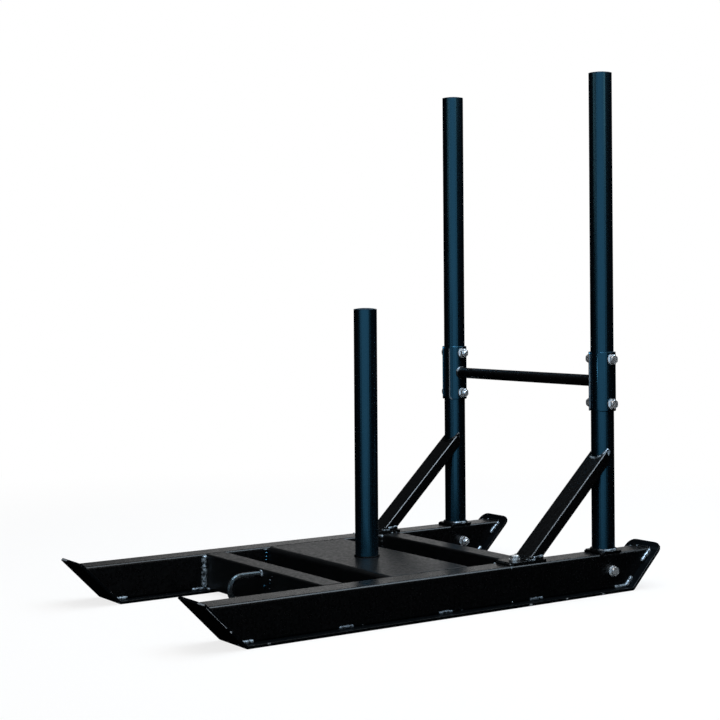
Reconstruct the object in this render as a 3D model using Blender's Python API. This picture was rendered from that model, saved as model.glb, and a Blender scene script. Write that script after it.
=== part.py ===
"""Weight sled: two skids under box rails, a load deck with a plate post, and a braced push frame.

Metres, +Z up, origin on the ground under the middle of the sled. X runs across it. -Y is the
towed front and +Y the end that is pushed. Left and right are those of the person pushing, so
left is +X. Stations along the sled are measured back from the skids' front bend.
"""
import math

import bmesh
import bpy
from mathutils import Vector

# Clearances
FIT = 0.0003  # between faces that are welded or clamped together
TUBE_PLAY = 0.0004  # around an upright in the rail's and base plate's bores
BOLT_PLAY = 0.0005  # around a bolt in its bores
MITRE_GAP = 0.0005  # between a rail's cut end and the turned-up skid

# Skids: flat bar with both ends turned up
SKID_WIDTH = 0.100
SKID_THICK = 0.006
SKID_FLAT = 0.965  # between the two bends, on the underside
SKID_TURN = math.radians(45)
SKID_FRONT_RISE = 0.088  # ground to the front end's lower edge
SKID_REAR_RISE = 0.0895
SKID_INSIDE_BEND = 0.001
SKID_REAR_CORNER = 0.020

# Uprights: tubes that stand in the rails
UPRIGHT_DIAMETER = 0.050
UPRIGHT_WALL = 0.003
UPRIGHT_LENGTH = 1.1044
UPRIGHT_FROM_REAR = 0.0423  # rear bend to the upright's axis

# Rails: box section standing on the skids, with the uprights inside it
TRACK = 0.520  # between the rails' centre lines
RAIL_HEIGHT = 0.075
RAIL_WALL = 0.003
RAIL_CORNER = 0.005
RAIL_PLAY = 0.0005  # between an upright and the rail's inner sides
RAIL_WIDTH = UPRIGHT_DIAMETER + 2 * (RAIL_WALL + RAIL_PLAY)

# Crossbars: box section as high as the rails, butted between them
CROSSBAR_WIDTH = 0.050
CROSSBAR_WALL = 0.003
CROSSBAR_CORNER = 0.004
FRONT_BAR_AT = 0.2148  # front bend to its front face
REAR_BAR_AHEAD = 0.2395  # upright's axis to its front face

# Load deck: plate folded down at its front and rear
DECK_AT = 0.371
DECK_LENGTH = 0.209
DECK_THICK = 0.005
DECK_INSIDE_BEND = 0.005
DECK_FLANGE = 0.050

# Plate post: tube that holds the weight plates
POST_DIAMETER = 0.050
POST_WALL = 0.003
POST_LENGTH = 0.5272
POST_SETBACK = 0.0043  # behind the deck's middle

# Domed plugs that close the three posts
CAP_RIM = 0.0015
CAP_DOME = 0.0025
CAP_PLUG = 0.015

# Base plates: square plates round the uprights on top of the rails
BASE_PLATE_OVERHANG = 0.0005
BASE_PLATE_THICK = 0.005
BASE_PLATE_CORNER = 0.006

# Foot plates: bolted to the rails, under the braces
FOOT_PLATE_AHEAD = 0.2763  # upright's axis to the plate's front edge
FOOT_PLATE_LENGTH = 0.092
FOOT_PLATE_INSET = 0.002  # from the rail's sides
FOOT_PLATE_THICK = 0.006
FOOT_PLATE_CORNER = 0.003
FOOT_BOLT_INSET = 0.0265  # from the plate's front edge

# Braces: box section as wide as the uprights, and the pads that close their lower ends
BRACE_DEPTH = 0.025
BRACE_WALL = 0.0025
BRACE_CORNER = 0.003
BRACE_RISE = math.radians(43.7)
BRACE_SETBACK = 0.0490  # foot plate's front edge to the brace's upper face
BRACE_PAD_LENGTH = 0.044
BRACE_PAD_THICK = 0.006
BRACE_PAD_LEAD = 0.007  # ahead of the brace's upper face

# Clamps: two half shells round each upright
CLAMP_HEIGHT = 0.128
CLAMP_THICK = 0.004
CLAMP_HALF_ARC = math.radians(66)
CLAMP_CORNER = 0.007
CLAMP_RISE = 0.3692  # rail's top to the clamp's middle
CLAMP_BOLT_INSET = 0.016  # from the clamp's ends

# Push bar: tube between the two inner shells
PUSH_BAR_DIAMETER = 0.025
PUSH_BAR_WALL = 0.0025

# Tow loop: round bar bent to a D on the front crossbar
TOW_BAR_DIAMETER = 0.012
TOW_LOOP_REACH = 0.073  # crossbar's face to the bar's axis at the bend
TOW_LOOP_HEIGHT = 0.051  # between the axes of its two legs
TOW_LOOP_LIFT = 0.0017  # above the crossbar's middle

# M12 fasteners
BOLT_DIAMETER = 0.012
BOLT_CHAMFER = 0.0012
BOLT_SHOWS = 0.004  # past the nut
HEX_FLATS = 0.018
HEX_CHAMFER = math.radians(30)
HEX_FACE = 0.94  # the flat end face's share of the width across flats
HEAD_HEIGHT = 0.0075
NUT_HEIGHT = 0.0105
WASHER_DIAMETER = 0.024
WASHER_THICK = 0.0025

# Facets round each kind of piece, and in each rounded corner
POST_SIDES = 40
BAR_SIDES = 32
FASTENER_SIDES = 18
BORE_SIDES = 16
DOME_STEPS = 3
CORNER_STEPS = 4
BEND_STEPS = 4
SHELL_STEPS = 14
TOW_BEND_STEPS = 16
TOW_BAR_STEPS = 3
SHARP_ANGLE = math.radians(35)  # edges that turn further are shaded sharp
CUTTER_REACH = 0.010  # how far a bore's cutter runs past what it cuts


def inner_corner(corner, wall):
    """Inside radius of a box tube's corner, never quite sharp."""
    return max(corner - wall, wall / 5)


# Places worked out from the sizes above
SKID_FRONT_REACH = SKID_FRONT_RISE / math.tan(SKID_TURN)
SKID_REAR_REACH = SKID_REAR_RISE / math.tan(SKID_TURN)
FRONT_BEND_Y = -(SKID_FLAT + SKID_REAR_REACH - SKID_FRONT_REACH) / 2
REAR_BEND_Y = FRONT_BEND_Y + SKID_FLAT
RAIL_BASE_Z = SKID_THICK + FIT
RAIL_TOP_Z = RAIL_BASE_Z + RAIL_HEIGHT
RAIL_MID_Z = RAIL_BASE_Z + RAIL_HEIGHT / 2
BAR_SPAN = TRACK - RAIL_WIDTH - 2 * FIT
UPRIGHT_Y = REAR_BEND_Y - UPRIGHT_FROM_REAR
UPRIGHT_RADIUS = UPRIGHT_DIAMETER / 2
UPRIGHT_FOOT_Z = RAIL_BASE_Z + RAIL_WALL + inner_corner(RAIL_CORNER, RAIL_WALL) + FIT
FRONT_BAR_Y = FRONT_BEND_Y + FRONT_BAR_AT
REAR_BAR_Y = UPRIGHT_Y - REAR_BAR_AHEAD
DECK_Y = FRONT_BEND_Y + DECK_AT
POST_Y = DECK_Y + DECK_LENGTH / 2 + POST_SETBACK
FOOT_PLATE_Y = UPRIGHT_Y - FOOT_PLATE_AHEAD
FOOT_BOLT_Y = FOOT_PLATE_Y + FOOT_BOLT_INSET
FOOT_BASE_Z = RAIL_TOP_Z + FIT
FOOT_TOP_Z = FOOT_BASE_Z + FOOT_PLATE_THICK
PAD_BASE_Z = FOOT_TOP_Z + FIT
BRACE_Y = FOOT_PLATE_Y + BRACE_SETBACK
BRACE_BASE_Z = PAD_BASE_Z + BRACE_PAD_THICK + FIT
BRACE_HEAD_Z = BRACE_BASE_Z + (UPRIGHT_Y - BRACE_Y) * math.tan(BRACE_RISE)
SHELL_INSIDE = UPRIGHT_RADIUS + FIT
SHELL_OUTSIDE = SHELL_INSIDE + CLAMP_THICK
CLAMP_Z = RAIL_TOP_Z + CLAMP_RISE
CLAMP_BOLT_RISE = CLAMP_HEIGHT / 2 - CLAMP_BOLT_INSET
BOLT_RADIUS = BOLT_DIAMETER / 2
BOLT_BORE = BOLT_RADIUS + BOLT_PLAY
SIDES = (("left", 1), ("right", -1))


def material(name, colour, roughness, metallic):
    """Principled material with one colour."""
    made = bpy.data.materials.new(name)
    made.use_nodes = True
    shader = made.node_tree.nodes["Principled BSDF"]
    shader.inputs["Base Color"].default_value = (*colour, 1)
    shader.inputs["Roughness"].default_value = roughness
    shader.inputs["Metallic"].default_value = metallic
    return made


def place(name, mesh, finish, location=(0, 0, 0), turn=(0, 0, 0)):
    """Object with its own material, under the sled's empty."""
    made = bpy.data.objects.new(name, mesh)
    bpy.context.collection.objects.link(made)
    if not mesh.materials:
        mesh.materials.append(finish)
    made.location = location
    made.rotation_euler = turn
    made.parent = SLED
    return made


def cutter(name, rings):
    """Closed solid that only cuts others."""
    made = bpy.data.objects.new(name, skin(name, rings))
    bpy.context.collection.objects.link(made)
    made.hide_render = True
    made.display_type = "WIRE"
    made.parent = SLED
    return made


def cut(target, tool):
    """Takes the tool's volume out of the target."""
    modifier = target.modifiers.new(tool.name, "BOOLEAN")
    modifier.operation = "DIFFERENCE"
    modifier.solver = "EXACT"
    modifier.object = tool


def skin(name, rings, closed=False):
    """Mesh through a row of rings with equally many points; closed joins the last to the first."""
    bm = bmesh.new()
    loops = [[bm.verts.new(point) for point in ring] for ring in rings]
    pairs = list(zip(loops, loops[1:]))
    if closed:
        pairs.append((loops[-1], loops[0]))
    else:
        bm.faces.new(loops[0])
        bm.faces.new(loops[-1])
    for first, second in pairs:
        for here in range(len(first)):
            there = (here + 1) % len(first)
            bm.faces.new((first[here], first[there], second[there], second[here]))
    bmesh.ops.recalc_face_normals(bm, faces=bm.faces)
    mesh = bpy.data.meshes.new(name)
    bm.to_mesh(mesh)
    bm.free()
    mesh.shade_smooth()
    mesh.set_sharp_from_angle(angle=SHARP_ANGLE)
    return mesh


def circle(radius, sides):
    """Points of a circle, as pairs."""
    turns = (2 * math.pi * step / sides for step in range(sides))
    return [(radius * math.cos(turn), radius * math.sin(turn)) for turn in turns]


def rounded_rectangle(width, height, radius):
    """Points of a rectangle about the origin, its corners rounded."""
    points = []
    for corner in range(4):
        across = (1, -1, -1, 1)[corner] * (width / 2 - radius)
        up = (1, 1, -1, -1)[corner] * (height / 2 - radius)
        for step in range(CORNER_STEPS):
            turn = math.pi / 2 * (corner + step / (CORNER_STEPS - 1))
            points.append((across + radius * math.cos(turn), up + radius * math.sin(turn)))
    return points


def lying_disc(radius, sides, x):
    """Ring about the X axis."""
    return [(x, across, up) for across, up in circle(radius, sides)]


def standing_disc(radius, sides, z):
    """Ring about the Z axis."""
    return [(across, along, z) for across, along in circle(radius, sides)]


def hollow(outside, inside, start, end):
    """Rings of a tube: start and end turn a point of the section into a point in space."""
    return [
        [start(*point) for point in outside],
        [end(*point) for point in outside],
        [end(*point) for point in inside],
        [start(*point) for point in inside],
    ]


def box_section(width, height, corner, wall):
    """Outer and inner outline of a box tube."""
    outside = rounded_rectangle(width, height, corner)
    inside_corner = inner_corner(corner, wall)
    return outside, rounded_rectangle(width - 2 * wall, height - 2 * wall, inside_corner)


def folded_plate(name, midline, thick, inside_bend, ends):
    """Plate folded along lines parallel to X; ends holds (back from the last edge, half width)."""
    radius = inside_bend + thick / 2
    points = [Vector(point) for point in midline]
    widest = ends[0][1]

    def left_of(direction, turned=0.0):
        normal = Vector((-direction.y, direction.x))
        return Vector((
            normal.x * math.cos(turned) - normal.y * math.sin(turned),
            normal.x * math.sin(turned) + normal.y * math.cos(turned),
        ))

    stations = [(points[0], left_of((points[1] - points[0]).normalized()), widest)]
    for before, bend, after in zip(points, points[1:], points[2:]):
        run_in = (bend - before).normalized()
        turn = -run_in.angle_signed((after - bend).normalized())
        side = math.copysign(radius, turn)
        start = bend - run_in * radius * math.tan(abs(turn) / 2)
        centre = start + left_of(run_in) * side
        for step in range(BEND_STEPS + 1):
            out = left_of(run_in, turn * step / BEND_STEPS)
            stations.append((centre - out * side, out, widest))
    last = (points[-1] - points[-2]).normalized()
    stations += [(points[-1] - last * back, left_of(last), half) for back, half in ends]
    corners = ((-1, -1), (1, -1), (1, 1), (-1, 1))
    return skin(name, [
        [(across * half, *(point + out * through * thick / 2)) for across, through in corners]
        for point, out, half in stations
    ])


def rounded_end(radius):
    """Round a corner from the end inwards: how far from the end, and how far in from the side."""
    turns = [math.pi / 2 * step / CORNER_STEPS for step in range(CORNER_STEPS + 1)]
    return [(radius * (1 - math.cos(turn)), radius * (1 - math.sin(turn))) for turn in turns]


def plate_mesh(name, width, length, thick, corner):
    """Flat plate with rounded corners, standing on z = 0."""
    outline = rounded_rectangle(width, length, corner)
    return skin(name, [[(across, along, z) for across, along in outline] for z in (0, thick)])


def skid_mesh():
    """Flat bar with both ends turned up and the rear corners rounded."""
    half = SKID_THICK / 2
    bend = half * math.tan(SKID_TURN / 2)
    slope = Vector((math.cos(SKID_TURN), math.sin(SKID_TURN)))
    front_bend = Vector((FRONT_BEND_Y + bend, half))
    rear_bend = Vector((REAR_BEND_Y - bend, half))
    front_run = SKID_FRONT_RISE / math.sin(SKID_TURN) - bend
    rear_run = SKID_REAR_RISE / math.sin(SKID_TURN) - bend
    front_end = front_bend + Vector((-slope.x, slope.y)) * front_run
    midline = (front_end, front_bend, rear_bend, rear_bend + slope * rear_run)
    corner = reversed(rounded_end(SKID_REAR_CORNER))
    ends = [(back, SKID_WIDTH / 2 - inset) for back, inset in corner]
    return folded_plate("skid", midline, SKID_THICK, SKID_INSIDE_BEND, ends)


def rail_mesh():
    """Box rail about x = 0, its ends cut to lie on the turned-up skid."""
    inner_bend = SKID_THICK * math.tan(SKID_TURN / 2) + MITRE_GAP

    def overhang(up):
        return (RAIL_MID_Z + up - SKID_THICK) / math.tan(SKID_TURN)

    return skin("rail", hollow(
        *box_section(RAIL_WIDTH, RAIL_HEIGHT, RAIL_CORNER, RAIL_WALL),
        lambda x, up: (x, FRONT_BEND_Y + inner_bend - overhang(up), RAIL_MID_Z + up),
        lambda x, up: (x, REAR_BEND_Y - inner_bend + overhang(up), RAIL_MID_Z + up),
    ), closed=True)


def crossbar_mesh():
    """Box tube across the sled, about the origin."""
    return skin("crossbar", hollow(
        *box_section(CROSSBAR_WIDTH, RAIL_HEIGHT, CROSSBAR_CORNER, CROSSBAR_WALL),
        lambda along, up: (-BAR_SPAN / 2, along, up),
        lambda along, up: (BAR_SPAN / 2, along, up),
    ), closed=True)


def deck_mesh():
    """Deck plate with a flange folded down at its front and rear."""
    half = DECK_THICK / 2
    front = DECK_Y + half
    rear = DECK_Y + DECK_LENGTH - half
    top = RAIL_TOP_Z - half
    bottom = RAIL_TOP_Z - DECK_FLANGE
    midline = ((front, bottom), (front, top), (rear, top), (rear, bottom))
    return folded_plate("deck", midline, DECK_THICK, DECK_INSIDE_BEND, [(0, BAR_SPAN / 2)])


def brace_mesh():
    """Sloping box tube about x = 0, cut level at its foot and upright at its head."""
    section = box_section(UPRIGHT_DIAMETER, BRACE_DEPTH, BRACE_CORNER, BRACE_WALL)

    def foot(x, up):
        back = (BRACE_DEPTH / 2 - up) / math.sin(BRACE_RISE)
        return x, BRACE_Y + back, BRACE_BASE_Z

    def head(x, up):
        drop = (BRACE_DEPTH / 2 - up) / math.cos(BRACE_RISE)
        return x, UPRIGHT_Y, BRACE_HEAD_Z - drop

    return skin("brace", hollow(*section, foot, head), closed=True)


def tube_mesh(name, diameter, wall, length):
    """Round tube that stands on z = 0."""
    outside = diameter / 2
    profile = ((outside, 0), (outside, length), (outside - wall, length), (outside - wall, 0))
    rings = [standing_disc(radius, POST_SIDES, z) for radius, z in profile]
    return skin(name, rings, closed=True)


def push_bar_mesh():
    """Round tube across the sled, as far as the uprights' axes."""
    return skin("push_bar", hollow(
        circle(PUSH_BAR_DIAMETER / 2, BAR_SIDES),
        circle(PUSH_BAR_DIAMETER / 2 - PUSH_BAR_WALL, BAR_SIDES),
        lambda along, up: (-TRACK / 2, along, up),
        lambda along, up: (TRACK / 2, along, up),
    ), closed=True)


def cap_mesh(name, diameter, wall):
    """Domed plug whose rim lies on a tube's end at z = 0."""
    outside = diameter / 2
    inside = outside - wall - FIT
    dome_base = FIT + CAP_RIM
    profile = [(inside, -CAP_PLUG), (inside, FIT), (outside, FIT), (outside, dome_base)]
    shares = (1 - step / DOME_STEPS for step in range(1, DOME_STEPS))
    profile += [(outside * share, dome_base + CAP_DOME * (1 - share ** 2)) for share in shares]
    return skin(name, [standing_disc(radius, POST_SIDES, z) for radius, z in profile])


def shell_mesh():
    """Half shell that wraps an upright's +X side, with rounded corners."""
    corner = [
        (CLAMP_HALF_ARC - back / SHELL_OUTSIDE, CLAMP_HEIGHT / 2 - inset)
        for back, inset in rounded_end(CLAMP_CORNER)
    ]
    straight = corner[-1][0]
    middle = [
        (straight * (1 - 2 * step / SHELL_STEPS), CLAMP_HEIGHT / 2)
        for step in range(1, SHELL_STEPS)
    ]
    stations = corner + middle + [(-angle, top) for angle, top in reversed(corner)]
    corners = ((SHELL_OUTSIDE, -1), (SHELL_OUTSIDE, 1), (SHELL_INSIDE, 1), (SHELL_INSIDE, -1))
    return skin("clamp_shell", [
        [(r * math.cos(angle), r * math.sin(angle), end * top) for r, end in corners]
        for angle, top in stations
    ])


def hex_ring(z, chamfered):
    """Hexagon round the Z axis; a chamfer leaves its corners lower than its sides."""
    ring = []
    for step in range(FASTENER_SIDES):
        turn = 2 * math.pi * step / FASTENER_SIDES
        radius = HEX_FLATS / 2 / math.cos(turn % (math.pi / 3) - math.pi / 6)
        drop = (radius - HEX_FLATS / 2 * HEX_FACE) * math.tan(HEX_CHAMFER)
        ring.append((
            radius * math.cos(turn), radius * math.sin(turn), z - drop if chamfered else z,
        ))
    return ring


def bolt_mesh(length):
    """Hexagon bolt: its head stands on z = 0 and its shank hangs below."""
    tip = BOLT_RADIUS - BOLT_CHAMFER
    return skin("bolt", [
        standing_disc(tip, FASTENER_SIDES, -length),
        standing_disc(BOLT_RADIUS, FASTENER_SIDES, BOLT_CHAMFER - length),
        standing_disc(BOLT_RADIUS, FASTENER_SIDES, 0),
        hex_ring(0, False),
        hex_ring(HEAD_HEIGHT, True),
        standing_disc(HEX_FLATS / 2 * HEX_FACE, FASTENER_SIDES, HEAD_HEIGHT),
    ])


def nut_mesh():
    """Hexagon nut that stands on z = 0."""
    bore = BOLT_RADIUS + FIT
    return skin("nut", [
        standing_disc(bore, FASTENER_SIDES, 0),
        hex_ring(0, False),
        hex_ring(NUT_HEIGHT, True),
        standing_disc(HEX_FLATS / 2 * HEX_FACE, FASTENER_SIDES, NUT_HEIGHT),
        standing_disc(bore, FASTENER_SIDES, NUT_HEIGHT),
    ], closed=True)


def washer_mesh():
    """Flat washer that stands on z = 0."""
    rim = WASHER_DIAMETER / 2
    profile = ((BOLT_BORE, 0), (rim, 0), (rim, WASHER_THICK), (BOLT_BORE, WASHER_THICK))
    rings = [standing_disc(radius, FASTENER_SIDES, z) for radius, z in profile]
    return skin("washer", rings, closed=True)


def bore(name, radius, sides, location, low, high, along_x=False):
    """Round cutter about a vertical axis, or one along X."""
    ring = lying_disc if along_x else standing_disc
    ends = (low - CUTTER_REACH, high + CUTTER_REACH)
    tool = cutter(name, [ring(radius, sides, end) for end in ends])
    tool.location = location
    return tool


def bolt_across(name, side, sign, centre, reach, held):
    """Bolt along X with its head outward, its washers and nut, and its bore in what it holds."""
    seat = reach + FIT
    head = seat + WASHER_THICK + FIT
    length = 2 * head + NUT_HEIGHT + BOLT_SHOWS
    outward = (0, sign * math.pi / 2, 0)
    inward = (0, -sign * math.pi / 2, 0)

    def out_from_centre(distance):
        return centre[0] + sign * distance, centre[1], centre[2]

    place(f"{name}_bolt_{side}", bolt_mesh(length), ZINC, out_from_centre(head), outward)
    place(f"{name}_nut_{side}", nut_mesh(), ZINC, out_from_centre(-head), inward)
    washer = washer_mesh()
    place(f"{name}_washer_outer_{side}", washer, ZINC, out_from_centre(seat), outward)
    place(f"{name}_washer_inner_{side}", washer, ZINC, out_from_centre(-seat), inward)
    tool = bore(f"{name}_bore_{side}", BOLT_BORE, BORE_SIDES, centre, -reach, reach, True)
    for piece in held:
        cut(piece, tool)


def build_base(side, sign, rail, skid):
    """One skid and the rail on it."""
    place(f"skid_{side}", skid, BLACK, (sign * TRACK / 2, 0, 0))
    return place(f"rail_{side}", rail, BLACK, (sign * TRACK / 2, 0, 0))


def build_deck():
    """The crossbars, the deck between them, its post and the tow loop."""
    crossbar = crossbar_mesh()
    for name, front in (("front_crossbar", FRONT_BAR_Y), ("rear_crossbar", REAR_BAR_Y)):
        place(name, crossbar, BLACK, (0, front + CROSSBAR_WIDTH / 2, RAIL_MID_Z))
    place("load_deck", deck_mesh(), BLACK)
    post = tube_mesh("weight_post", POST_DIAMETER, POST_WALL, POST_LENGTH)
    post_base = RAIL_TOP_Z + FIT
    place("weight_post", post, BLACK, (0, POST_Y, post_base))
    cap = cap_mesh("weight_post_cap", POST_DIAMETER, POST_WALL)
    place("weight_post_cap", cap, BLACK_PLASTIC, (0, POST_Y, post_base + POST_LENGTH))
    place("tow_loop", tow_loop_curve(), BLACK, (0, FRONT_BAR_Y, RAIL_MID_Z + TOW_LOOP_LIFT))


def tow_loop_curve():
    """Round bar from the crossbar's face at y = 0, round a half circle and back to the face."""
    curve = bpy.data.curves.new("tow_loop", "CURVE")
    curve.dimensions = "3D"
    curve.bevel_depth = TOW_BAR_DIAMETER / 2
    curve.bevel_resolution = TOW_BAR_STEPS
    curve.use_fill_caps = True
    radius = TOW_LOOP_HEIGHT / 2
    centre = radius - TOW_LOOP_REACH
    turns = [math.pi * step / TOW_BEND_STEPS for step in range(TOW_BEND_STEPS + 1)]
    route = [(0, -FIT, radius)]
    route += [(0, centre - radius * math.sin(turn), radius * math.cos(turn)) for turn in turns]
    route += [(0, -FIT, -radius)]
    spline = curve.splines.new("POLY")
    spline.points.add(len(route) - 1)
    for point, spot in zip(spline.points, route):
        point.co = (*spot, 1)
    spline.use_smooth = True
    return curve


def build_upright(side, sign, rail, upright, cap, base_plate):
    """One upright in its rail, with its cap, base plate and the bolt through the rail."""
    x = sign * TRACK / 2
    tube = place(f"upright_{side}", upright, BLACK, (x, UPRIGHT_Y, UPRIGHT_FOOT_Z))
    cap_z = UPRIGHT_FOOT_Z + UPRIGHT_LENGTH
    place(f"upright_cap_{side}", cap, BLACK_PLASTIC, (x, UPRIGHT_Y, cap_z))
    plate_z = RAIL_TOP_Z + FIT
    plate = place(f"upright_base_plate_{side}", base_plate, BLACK, (x, UPRIGHT_Y, plate_z))
    socket = bore(
        f"upright_socket_{side}", UPRIGHT_RADIUS + TUBE_PLAY, POST_SIDES, (x, UPRIGHT_Y, 0),
        RAIL_MID_Z, plate_z + BASE_PLATE_THICK,
    )
    cut(plate, socket)
    cut(rail, socket)
    centre = (x, UPRIGHT_Y, RAIL_MID_Z)
    bolt_across("rail", side, sign, centre, RAIL_WIDTH / 2, (rail, tube))
    return tube


def build_brace(side, sign, rail, brace, foot_plate, pad):
    """One brace on its pad and foot plate, and the bolt that holds the foot plate to the rail."""
    x = sign * TRACK / 2
    middle = FOOT_PLATE_Y + FOOT_PLATE_LENGTH / 2
    foot = place(f"brace_foot_{side}", foot_plate, BLACK, (x, middle, FOOT_BASE_Z))
    pad_y = BRACE_Y - BRACE_PAD_LEAD + BRACE_PAD_LENGTH / 2
    place(f"brace_pad_{side}", pad, BLACK, (x, pad_y, PAD_BASE_Z))
    strut = place(f"brace_{side}", brace, BLACK, (x, 0, 0))
    cope = bore(
        f"brace_cope_{side}", UPRIGHT_RADIUS + FIT, POST_SIDES, (x, UPRIGHT_Y, 0),
        BRACE_BASE_Z, BRACE_HEAD_Z,
    )
    cut(strut, cope)
    washer_z = FOOT_TOP_Z + FIT
    head_z = washer_z + WASHER_THICK + FIT
    nut_z = RAIL_TOP_Z - RAIL_WALL - FIT
    length = head_z - nut_z + NUT_HEIGHT + BOLT_SHOWS
    place(f"foot_bolt_{side}", bolt_mesh(length), ZINC, (x, FOOT_BOLT_Y, head_z))
    place(f"foot_washer_{side}", washer_mesh(), ZINC, (x, FOOT_BOLT_Y, washer_z))
    place(f"foot_nut_{side}", nut_mesh(), ZINC, (x, FOOT_BOLT_Y, nut_z), (math.pi, 0, 0))
    drill = bore(
        f"foot_bore_{side}", BOLT_BORE, BORE_SIDES, (x, FOOT_BOLT_Y, 0),
        RAIL_TOP_Z - RAIL_WALL, FOOT_TOP_Z,
    )
    cut(foot, drill)
    cut(rail, drill)


def build_clamp(side, sign, upright, shell):
    """The two half shells round one upright and the bolts through them."""
    centre = (sign * TRACK / 2, UPRIGHT_Y, CLAMP_Z)
    facing = 0 if sign > 0 else math.pi
    outer = place(f"clamp_outer_{side}", shell, BLACK, centre, (0, 0, facing))
    inner = place(f"clamp_inner_{side}", shell, BLACK, centre, (0, 0, facing + math.pi))
    for name, rise in (("clamp_upper", CLAMP_BOLT_RISE), ("clamp_lower", -CLAMP_BOLT_RISE)):
        middle = (centre[0], centre[1], CLAMP_Z + rise)
        bolt_across(name, side, sign, middle, SHELL_OUTSIDE, (outer, inner, upright))


def build_push_bar():
    """The tube between the inner shells, its ends coped to their round outsides."""
    bar = place("push_bar", push_bar_mesh(), BLACK, (0, UPRIGHT_Y, CLAMP_Z))
    for side, sign in SIDES:
        cut(bar, bore(
            f"push_bar_cope_{side}", SHELL_OUTSIDE + FIT, POST_SIDES,
            (sign * TRACK / 2, UPRIGHT_Y, CLAMP_Z), -PUSH_BAR_DIAMETER / 2, PUSH_BAR_DIAMETER / 2,
        ))


def build_sled():
    """Every piece of the sled."""
    rail, skid = rail_mesh(), skid_mesh()
    upright = tube_mesh("upright", UPRIGHT_DIAMETER, UPRIGHT_WALL, UPRIGHT_LENGTH)
    cap = cap_mesh("upright_cap", UPRIGHT_DIAMETER, UPRIGHT_WALL)
    base_side = RAIL_WIDTH + 2 * BASE_PLATE_OVERHANG
    base_plate = plate_mesh(
        "upright_base_plate", base_side, base_side, BASE_PLATE_THICK, BASE_PLATE_CORNER,
    )
    foot_plate = plate_mesh(
        "brace_foot", RAIL_WIDTH - 2 * FOOT_PLATE_INSET, FOOT_PLATE_LENGTH, FOOT_PLATE_THICK,
        FOOT_PLATE_CORNER,
    )
    pad = plate_mesh(
        "brace_pad", UPRIGHT_DIAMETER, BRACE_PAD_LENGTH, BRACE_PAD_THICK, FOOT_PLATE_CORNER,
    )
    brace, shell = brace_mesh(), shell_mesh()
    build_deck()
    for side, sign in SIDES:
        beam = build_base(side, sign, rail, skid)
        tube = build_upright(side, sign, beam, upright, cap, base_plate)
        build_brace(side, sign, beam, brace, foot_plate, pad)
        build_clamp(side, sign, tube, shell)
    build_push_bar()


for leftover in list(bpy.data.objects):
    bpy.data.objects.remove(leftover)
SLED = bpy.data.objects.new("weight_sled", None)
bpy.context.collection.objects.link(SLED)
BLACK = material("black_powder_coat", (0.020, 0.021, 0.023), 0.45, 0.0)
BLACK_PLASTIC = material("black_plastic", (0.015, 0.015, 0.016), 0.5, 0.0)
ZINC = material("zinc_plated_steel", (0.78, 0.80, 0.83), 0.28, 1.0)
build_sled()
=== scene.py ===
# %% [markdown]
# # Dressing a weight sled
#
# A weight sled is a welded steel frame that an athlete pushes or drags across a gym floor. Its
# solids come ready made in model.glb. This lesson gives them their finish: black powder coat,
# zinc-plated bolts, plastic plugs and, above all, the weld beads that hold such a frame together.
#
# The first cell loads the solids as a fixed frame. Nothing in it is moved or reshaped later.

# %% Load the frame
import math
import random

import bmesh
import bpy
from mathutils import Matrix, Vector, noise


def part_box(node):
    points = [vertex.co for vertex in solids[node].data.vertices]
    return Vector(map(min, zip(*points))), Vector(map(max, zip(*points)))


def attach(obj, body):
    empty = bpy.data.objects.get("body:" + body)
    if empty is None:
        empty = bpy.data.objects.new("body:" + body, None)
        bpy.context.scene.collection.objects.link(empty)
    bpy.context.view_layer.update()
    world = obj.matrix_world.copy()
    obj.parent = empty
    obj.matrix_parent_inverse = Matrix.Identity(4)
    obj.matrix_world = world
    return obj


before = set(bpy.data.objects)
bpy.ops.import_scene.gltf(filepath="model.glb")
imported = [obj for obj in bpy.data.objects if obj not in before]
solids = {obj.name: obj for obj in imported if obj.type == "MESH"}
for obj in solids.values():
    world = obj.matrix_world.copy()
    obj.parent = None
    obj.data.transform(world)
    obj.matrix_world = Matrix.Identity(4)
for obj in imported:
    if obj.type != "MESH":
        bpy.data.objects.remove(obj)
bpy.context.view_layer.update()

# %% [markdown]
# ## The camera
#
# The photograph was taken level, from beside the front left corner, with a long lens. Tilting the
# camera down would get the whole sled into the frame, but make its uprights lean. Shifting the
# lens down keeps them upright, so the shift is copied here.

# %% The camera
VIEW_AZIMUTH = math.radians(55.558)
VIEW_ROLL = 0.00692
EYE = Vector((2.80092, -1.93880, 0.64333))
LENS_LENGTH = 79.422
FILM_WIDTH = 36
LENS_SHIFT = (0.0007, -0.0920)

ahead = Vector((-math.sin(VIEW_AZIMUTH), math.cos(VIEW_AZIMUTH), 0))
across = Vector((math.cos(VIEW_AZIMUTH), math.sin(VIEW_AZIMUTH), 0))
up = Vector((0, 0, 1))
picture_right = across * math.cos(VIEW_ROLL) - up * math.sin(VIEW_ROLL)
picture_up = across * math.sin(VIEW_ROLL) + up * math.cos(VIEW_ROLL)

camera_data = bpy.data.cameras.new("photograph_view")
camera_data.lens = LENS_LENGTH
camera_data.sensor_width = FILM_WIDTH
camera_data.shift_x, camera_data.shift_y = LENS_SHIFT
camera = bpy.data.objects.new("photograph_view", camera_data)
bpy.context.scene.collection.objects.link(camera)
turn = Matrix((picture_right, picture_up, -ahead)).transposed()
camera.matrix_world = Matrix.Translation(EYE) @ turn.to_4x4()
bpy.context.scene.camera = camera
bpy.context.scene.view_settings.view_transform = "Standard"
print("camera", round((EYE - Vector((0, 0, 0.5))).length, 2), "m from the sled's middle")

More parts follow.
